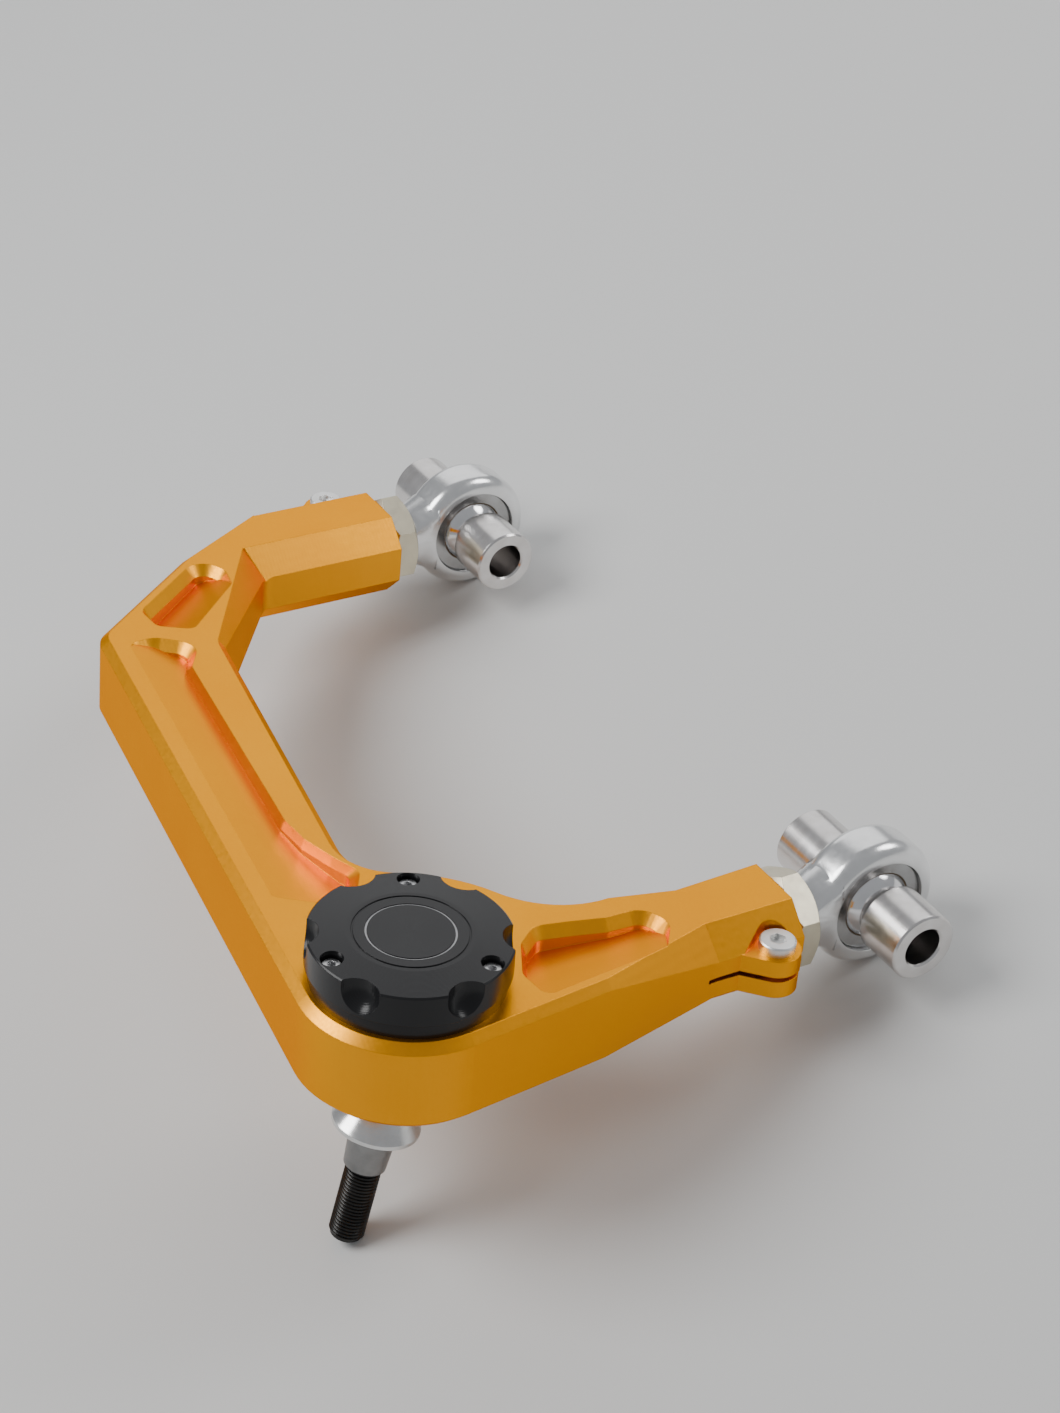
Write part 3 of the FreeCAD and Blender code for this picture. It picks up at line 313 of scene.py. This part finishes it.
# ---------------------------------------------------------------------------
# finishes
# ---------------------------------------------------------------------------
def anodised_arm(settings):
    """Satin dyed aluminium with cutter passes on the faces and step lines on the walls."""
    look = Shader("arm_anodised")
    place = look.local_place(CUP_BALL, arm_turn())
    across, _, height = look.split(place)
    cloud = look.noise(place, 14.0, 4.0)
    grain = look.noise(place, 900.0, 2.0)
    wander = look.math("MULTIPLY_ADD", look.noise(place, 30.0), 0.004, across)
    passes = look.waves(wander, settings.pass_spacing)
    steps = look.waves(height, WALL_STEP_SPACING)
    streaks = look.noise(look.stretched(place, (700.0, 700.0, 12.0)), 1.0, 2.0)
    look.colour(look.blend(look.ramp(cloud, 0.3, 0.7), settings.arm_colour,
                           settings.arm_deep_colour))
    rough = look.math("MULTIPLY_ADD", grain, 0.16, 0.27)
    look.roughness(look.math("MULTIPLY_ADD", streaks, 0.08, rough))
    relief = look.math("MULTIPLY_ADD", steps, 0.25, look.math("MULTIPLY", passes, 0.25))
    relief = look.math("ADD", relief, look.math("MULTIPLY", streaks, 0.6))
    relief = look.math("ADD", relief, look.math("MULTIPLY", grain, 0.5))
    look.relief(relief, 0.000012, 0.0005)
    look.constants(metallic=1.0)
    look.surface.inputs["Specular Tint"].default_value = ARM_GLANCE_TINT
    return look.material


def anodised_cap(settings):
    """Black dyed aluminium, turned: fine rings about the cup axis, and a painted highlight ring
    of light grey.
    """
    look = Shader("cap_anodised")
    place = look.local_place(CUP_BALL, arm_turn())
    x, y, _ = look.split(place)
    radius = look.math("SQRT", look.math("ADD", look.math("MULTIPLY", x, x),
                                         look.math("MULTIPLY", y, y)))
    rings = look.waves(radius, settings.turning_spacing)
    uneven = look.noise(look.stretched(place, (60.0, 60.0, 60.0)), 1.0, 3.0)
    # painted highlight: a light grey ring between two radii, blended into the cap's black
    highlight_low = look.math("GREATER_THAN", radius, CAP_HIGHLIGHT_RADII[0])
    highlight_high = look.math("LESS_THAN", radius, CAP_HIGHLIGHT_RADII[1])
    painted_highlight = look.math("MULTIPLY", highlight_low, highlight_high)
    look.colour(look.blend(painted_highlight, settings.cap_colour, PAINTED_HIGHLIGHT_GREY))
    look.roughness(look.math("MULTIPLY_ADD", uneven, 0.10, 0.20))
    look.relief(look.math("MULTIPLY_ADD", uneven, 0.6, rings), 0.000010, 0.0003)
    look.constants(metallic=0.0, specular=0.28)
    return look.material


def turned_steel(name, tones, origin, turn, rough=0.16):
    """Bright steel with lathe rings along its own axis, which is local Z."""
    look = Shader(name)
    place = look.local_place(origin, turn)
    _, _, along = look.split(place)
    rings = look.waves(along, 0.0005)
    smear = look.noise(look.stretched(place, (25.0, 25.0, 900.0)), 1.0, 2.0)
    stain = look.noise(place, 120.0, 4.0)
    look.colour(look.blend(look.ramp(stain, 0.35, 0.75), *tones))
    look.roughness(look.math("MULTIPLY_ADD", smear, 0.16, rough))
    look.relief(look.math("MULTIPLY_ADD", smear, 1.5, rings), 0.0000022, 0.0003)
    look.constants(metallic=1.0)
    return look.material


def plated_steel(name, tones, rough, grain_size=300.0, depth=0.00001):
    """Plated or coated steel with a soft mottled grain."""
    look = Shader(name)
    place = look.object_place()
    mottle = look.noise(place, 90.0, 5.0, 0.6)
    grain = look.noise(place, grain_size, 3.0)
    look.colour(look.blend(look.ramp(mottle, 0.3, 0.7), *tones))
    look.roughness(look.math("MULTIPLY_ADD", grain, 0.18, rough))
    look.relief(look.math("ADD", grain, mottle), depth, 0.0004)
    look.constants(metallic=1.0)
    return look.material


def woven_liner():
    """Woven low-friction fabric, bonded in the race."""
    look = Shader("liner_fabric")
    x, y, z = look.split(look.object_place())
    weave = look.math("MULTIPLY", look.waves(look.math("ADD", x, z), WEAVE_SPACING),
                      look.waves(look.math("ADD", y, z), WEAVE_SPACING))
    look.colour(look.blend(look.ramp(weave, -1, 1), (0.10, 0.06, 0.03), (0.30, 0.22, 0.13)))
    look.relief(weave, 0.00003, 0.0001)
    look.constants(roughness=0.65)
    return look.material


def moulded_rubber():
    """Dull black rubber with a fine speck."""
    look = Shader("seal_rubber")
    place = look.object_place()
    speck = look.noise(place, 800.0, 3.0)
    look.colour(look.blend(speck, (0.012, 0.012, 0.012), (0.03, 0.03, 0.03)))
    look.relief(speck, 0.00002, 0.0002)
    look.constants(roughness=0.75)
    return look.material


def floor_finish(settings):
    """Plain matt floor, barely clouded."""
    look = Shader("floor_plain")
    cloud = look.noise(look.object_place(), 1.5, 2.0)
    pale = settings.floor_colour
    look.colour(look.blend(cloud, pale, [value * 0.97 for value in pale]))
    look.constants(roughness=0.55)
    return look.material


def paint(node, material):
    """Gives a CAD node or a piece one material over all its faces."""
    target = frame["nodes"][node] if isinstance(node, str) else node
    target.data.materials.clear()
    target.data.materials.append(material)


# ---------------------------------------------------------------------------
# threads
# ---------------------------------------------------------------------------
def thread_tree():
    """Geometry Nodes: a core with a helical ridge about Z, from zero up to Length."""
    tree = bpy.data.node_groups.new("screw_thread", "GeometryNodeTree")
    face = tree.interface
    face.new_socket("Geometry", in_out="INPUT", socket_type="NodeSocketGeometry")
    for name in ("Crest Radius", "Pitch", "Length", "Tip Chamfer"):
        face.new_socket(name, in_out="INPUT", socket_type="NodeSocketFloat")
    face.new_socket("Geometry", in_out="OUTPUT", socket_type="NodeSocketGeometry")
    nodes, links = tree.nodes, tree.links

    def add(kind, **settings):
        node = nodes.new(kind)
        for key, value in settings.items():
            setattr(node, key, value)
        return node

    def calc(operation, first, second):
        node = add("ShaderNodeMath", operation=operation)
        for slot, value in enumerate((first, second)):
            if isinstance(value, (int, float)):
                node.inputs[slot].default_value = value
            else:
                links.new(value, node.inputs[slot])
        return node.outputs[0]

    source = add("NodeGroupInput").outputs
    crest, pitch, length = source["Crest Radius"], source["Pitch"], source["Length"]
    depth = calc("MULTIPLY", pitch, THREAD_DEPTH_SHARE)
    root = calc("SUBTRACT", crest, depth)

    # core: a barrel of the root radius and a short cone that ends at the tip
    tip_radius = calc("SUBTRACT", crest, source["Tip Chamfer"])
    tip_depth = calc("SUBTRACT", root, tip_radius)
    barrel_length = calc("SUBTRACT", length, tip_depth)

    def frustum(low_radius, high_radius, depth_socket):
        cone = add("GeometryNodeMeshCone", fill_type="TRIANGLE_FAN")
        cone.inputs["Vertices"].default_value = THREAD_SIDES
        links.new(low_radius, cone.inputs["Radius Bottom"])
        links.new(high_radius, cone.inputs["Radius Top"])
        links.new(depth_socket, cone.inputs["Depth"])
        return cone.outputs["Mesh"]

    barrel = frustum(root, root, barrel_length)
    lift = add("ShaderNodeCombineXYZ")
    links.new(barrel_length, lift.inputs[2])
    point = add("GeometryNodeTransform")
    links.new(frustum(root, tip_radius, tip_depth), point.inputs["Geometry"])
    links.new(lift.outputs[0], point.inputs["Translation"])

    # ridge: a triangle swept along a helix
    ridge_length = calc("SUBTRACT", length, source["Tip Chamfer"])
    turns = calc("DIVIDE", ridge_length, pitch)
    helix = add("GeometryNodeCurveSpiral")
    helix.inputs["Resolution"].default_value = THREAD_STEPS
    links.new(turns, helix.inputs["Rotations"])
    links.new(root, helix.inputs["Start Radius"])
    links.new(root, helix.inputs["End Radius"])
    links.new(ridge_length, helix.inputs["Height"])
    upright = add("GeometryNodeSetCurveNormal", mode="Z_UP")
    links.new(helix.outputs[0], upright.inputs[0])
    # the section's one outward corner is the crest
    wedge = add("GeometryNodeCurvePrimitiveCircle", mode="RADIUS")
    wedge.inputs["Resolution"].default_value = 3
    links.new(depth, wedge.inputs["Radius"])
    crest_out = add("GeometryNodeTransform")
    crest_out.inputs["Rotation"].default_value = (0, 0, math.pi)
    links.new(wedge.outputs[0], crest_out.inputs["Geometry"])
    sweep = add("GeometryNodeCurveToMesh")
    sweep.inputs["Fill Caps"].default_value = True
    links.new(upright.outputs[0], sweep.inputs["Curve"])
    links.new(crest_out.outputs[0], sweep.inputs["Profile Curve"])

    joined = add("GeometryNodeJoinGeometry")
    for mesh in (sweep.outputs[0], barrel, point.outputs[0]):
        links.new(mesh, joined.inputs[0])
    solid = add("GeometryNodeRealizeInstances")
    links.new(joined.outputs[0], solid.inputs[0])
    links.new(solid.outputs[0], add("NodeGroupOutput").inputs[0])
    return tree


def grown_mesh(tree, inputs):
    """Runs a node tree on an empty object and returns the finished mesh."""
    holder = bpy.data.objects.new("holder", bpy.data.meshes.new("holder"))
    bpy.context.scene.collection.objects.link(holder)
    modifier = holder.modifiers.new("grow", "NODES")
    modifier.node_group = tree
    for item in tree.interface.items_tree:
        if item.item_type == "SOCKET" and item.in_out == "INPUT" and item.name in inputs:
            modifier[item.identifier] = inputs[item.name]
    bpy.context.view_layer.update()
    ready = holder.evaluated_get(bpy.context.evaluated_depsgraph_get())
    mesh = bpy.data.meshes.new_from_object(ready)
    bpy.data.objects.remove(holder)
    return mesh


def frame_along(origin, direction):
    """Matrix that puts local Z along direction, starting at origin."""
    return Matrix.Translation(origin) @ direction.to_track_quat("Z", "Y").to_matrix().to_4x4()


def cut_copy(node, start, direction):
    """A merged copy of a CAD node's mesh without what lies beyond start."""
    mesh = bmesh.new()
    mesh.from_mesh(frame["nodes"][node].data)
    bmesh.ops.remove_doubles(mesh, verts=mesh.verts, dist=MERGE_DISTANCE)
    parts = mesh.verts[:] + mesh.edges[:] + mesh.faces[:]
    bmesh.ops.bisect_plane(mesh, geom=parts, plane_co=start, plane_no=direction,
                           clear_outer=True, dist=PLANE_DISTANCE)
    rim = [edge for edge in mesh.edges if edge.is_boundary]
    bmesh.ops.holes_fill(mesh, edges=rim)
    return mesh


def threaded_piece(node, name, body, origin, direction, start, end, radius, pitch,
                   finish):
    """Replaces a CAD node with its own shape up to start and a cut thread beyond it."""
    begin = origin + direction * start
    shape = cut_copy(node, begin, direction)
    tree = bpy.data.node_groups.get("screw_thread") or thread_tree()
    thread = grown_mesh(tree, {"Crest Radius": radius, "Pitch": pitch, "Length": end - start,
                               "Tip Chamfer": TIP_CHAMFER})
    thread.transform(frame_along(begin, direction))
    for face in shape.faces:
        face.smooth = True
    shape.from_mesh(thread)
    for face in shape.faces:
        face.material_index = 0
    mesh = bpy.data.meshes.new(name)
    shape.to_mesh(mesh)
    shape.free()
    mesh.materials.append(finish)
    mesh.set_sharp_from_angle(angle=math.radians(CREASE_ANGLE))
    piece = bpy.data.objects.new(name, mesh)
    bpy.context.scene.collection.objects.link(piece)
    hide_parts(node)
    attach(piece, body)


# ---------------------------------------------------------------------------
# operators
# ---------------------------------------------------------------------------
class SUSPARM_OT_arm(bpy.types.Operator):
    """Finish the machined arm"""
    bl_idname = "susparm.arm"
    bl_label = "Arm"

    def execute(self, context):
        paint("control_arm", anodised_arm(context.scene.susparm_anodise))
        return {"FINISHED"}


class SUSPARM_OT_cap(bpy.types.Operator):
    """Finish the cap, its screws and its seal"""
    bl_idname = "susparm.cap"
    bl_label = "Cap"

    def execute(self, context):
        paint("top_cap", anodised_cap(context.scene.susparm_anodise))
        paint("cap_screws", plated_steel("cap_screw_steel", TONES["cap_screw"], 0.18))
        paint("cap_seal_ring", moulded_rubber())
        return {"FINISHED"}


class SUSPARM_OT_cup_bearing(bpy.types.Operator):
    """Finish the spherical bearing in the cup"""
    bl_idname = "susparm.cup_bearing"
    bl_label = "Cup Bearing"

    def execute(self, context):
        turn = arm_turn()
        paint("uniball_race", turned_steel("cup_race_steel", TONES["cup_race"], CUP_BALL, turn))
        paint("uniball_ball", turned_steel("cup_ball_chrome", TONES["cup_ball"], CUP_BALL, turn,
                                           rough=0.06))
        paint("uniball_liner", woven_liner())
        paint("uniball_retaining_ring", plated_steel("spring_steel", TONES["retaining_ring"],
                                                     0.35))
        return {"FINISHED"}


class SUSPARM_OT_stud(bpy.types.Operator):
    """Build the threaded stud and finish its spacers"""
    bl_idname = "susparm.stud"
    bl_label = "Stud"

    def execute(self, context):
        sizes = context.scene.susparm_thread
        turn = STUD_DOWN.to_track_quat("Z", "Y").to_euler()
        black = plated_steel("black_oxide", TONES["stud"], 0.2)
        threaded_piece("stud_bolt", "stud_threaded", "stud", CUP_BALL, STUD_DOWN,
                       sizes.stud_start, sizes.stud_end, sizes.stud_radius, sizes.stud_pitch,
                       black)
        paint("stud_cone_spacer", turned_steel("cone_steel", TONES["cone_spacer"], CUP_BALL,
                                               turn, rough=0.12))
        paint("stud_upper_spacer", turned_steel("upper_spacer_steel", TONES["upper_spacer"],
                                                CUP_BALL, turn))
        paint("stud_taper_collar", turned_steel("collar_steel", TONES["taper_collar"], CUP_BALL,
                                                turn, rough=0.3))
        return {"FINISHED"}


class SUSPARM_OT_rod_ends(bpy.types.Operator):
    """Build the threaded rod ends and finish their balls, races and spacers"""
    bl_idname = "susparm.rod_ends"
    bl_label = "Rod Ends"

    def execute(self, context):
        sizes = context.scene.susparm_thread
        turn = PIVOT_LINE.to_track_quat("Z", "Y").to_euler()
        bright = plated_steel("rod_end_bright", TONES["rod_end"], 0.13, grain_size=500.0,
                              depth=0.000006)
        for leg in LEGS:
            centre = EYE_BALL[leg]
            threaded_piece(leg + "_rod_end_body", leg + "_rod_end_threaded", leg + "_rod_end",
                           centre, -ARM_OUT, sizes.shank_start,
                           sizes.shank_end, sizes.shank_radius, sizes.shank_pitch, bright)
            paint(leg + "_rod_end_race", turned_steel(leg + "_race_steel", TONES["eye_race"],
                                                      centre, turn))
            paint(leg + "_rod_end_ball", turned_steel(leg + "_ball_chrome", TONES["eye_ball"],
                                                      centre, turn, rough=0.05))
            paint(leg + "_rod_end_liner", woven_liner())
            spacer = turned_steel(leg + "_spacer_steel", TONES["pivot_spacer"], centre, turn,
                                  rough=0.14)
            paint(leg + "_inner_spacer", spacer)
            paint(leg + "_outer_spacer", spacer)
        return {"FINISHED"}


class SUSPARM_OT_clamp_hardware(bpy.types.Operator):
    """Finish the jam nuts and the pinch screws"""
    bl_idname = "susparm.clamp_hardware"
    bl_label = "Jam Nuts and Pinch Screws"

    def execute(self, context):
        zinc = plated_steel("nut_plated", TONES["jam_nut"], 0.3)
        white = plated_steel("pinch_screw_steel", TONES["pinch_screw"], 0.3)
        for leg in LEGS:
            paint(leg + "_jam_nut", zinc)
            paint(leg + "_pinch_screw", white)
        return {"FINISHED"}


class SUSPARM_OT_stage(bpy.types.Operator):
    """Set out the floor, the lights and the camera"""
    bl_idname = "susparm.stage"
    bl_label = "Stage"

    def execute(self, context):
        settings = context.scene.susparm_stage
        reach = settings.floor_size / 2
        mesh = bpy.data.meshes.new("floor")
        corners = [(-reach, -reach, 0), (reach, -reach, 0), (reach, reach, 0), (-reach, reach, 0)]
        mesh.from_pydata(corners, [], [(0, 1, 2, 3)])
        floor = bpy.data.objects.new("floor", mesh)
        context.scene.collection.objects.link(floor)
        paint(floor, floor_finish(settings))

        world = bpy.data.worlds.new("studio")
        world.use_nodes = True
        sky = world.node_tree.nodes["Background"]
        sky.inputs["Color"].default_value = SKY_COLOUR
        sky.inputs["Strength"].default_value = SKY_STRENGTH
        context.scene.world = world
        for softbox in SOFTBOXES:
            self.softbox(*softbox)

        camera = bpy.data.cameras.new("camera")
        camera.sensor_fit = "VERTICAL"
        camera.sensor_height = SENSOR_HEIGHT
        camera.lens = settings.lens
        camera.clip_start = NEAR_CLIP
        holder = bpy.data.objects.new("camera", camera)
        holder.location = settings.camera_place
        holder.rotation_euler = settings.camera_turn
        context.scene.collection.objects.link(holder)
        context.scene.camera = holder
        return {"FINISHED"}

    def softbox(self, name, place, size, power):
        light = bpy.data.lights.new(name, "AREA")
        light.shape = "DISK"
        light.size = size
        light.energy = power
        lamp = bpy.data.objects.new(name, light)
        lamp.location = place
        aim = Vector(SOFTBOX_TARGET) - Vector(place)
        lamp.rotation_euler = aim.to_track_quat("-Z", "Y").to_euler()
        bpy.context.scene.collection.objects.link(lamp)


OPERATORS = (SUSPARM_OT_arm, SUSPARM_OT_cap, SUSPARM_OT_cup_bearing, SUSPARM_OT_stud,
             SUSPARM_OT_rod_ends, SUSPARM_OT_clamp_hardware, SUSPARM_OT_stage)


class SUSPARM_PT_panel(bpy.types.Panel):
    """Lists the pieces and their settings"""
    bl_idname = "SUSPARM_PT_panel"
    bl_label = "Suspension Arm"
    bl_space_type = "VIEW_3D"
    bl_region_type = "UI"
    bl_category = "Suspension Arm"

    def draw(self, context):
        for operator in OPERATORS:
            self.layout.operator(operator.bl_idname)
        for group in (context.scene.susparm_anodise, context.scene.susparm_thread,
                      context.scene.susparm_stage):
            box = self.layout.box()
            for name in group.__annotations__:
                box.prop(group, name)


GROUPS = {"susparm_anodise": AnodiseSettings, "susparm_thread": ThreadSettings,
          "susparm_stage": StageSettings}


def register():
    for group in GROUPS.values():
        bpy.utils.register_class(group)
    for operator in OPERATORS:
        bpy.utils.register_class(operator)
    bpy.utils.register_class(SUSPARM_PT_panel)
    for name, group in GROUPS.items():
        setattr(bpy.types.Scene, name, bpy.props.PointerProperty(type=group))


def unregister():
    for name in GROUPS:
        delattr(bpy.types.Scene, name)
    bpy.utils.unregister_class(SUSPARM_PT_panel)
    for operator in reversed(OPERATORS):
        bpy.utils.unregister_class(operator)
    for group in GROUPS.values():
        bpy.utils.unregister_class(group)


def main():
    register()
    for operator in OPERATORS:
        package, action = operator.bl_idname.split(".")
        getattr(getattr(bpy.ops, package), action)()
    bpy.context.view_layer.update()


if __name__ == "__main__":
    main()
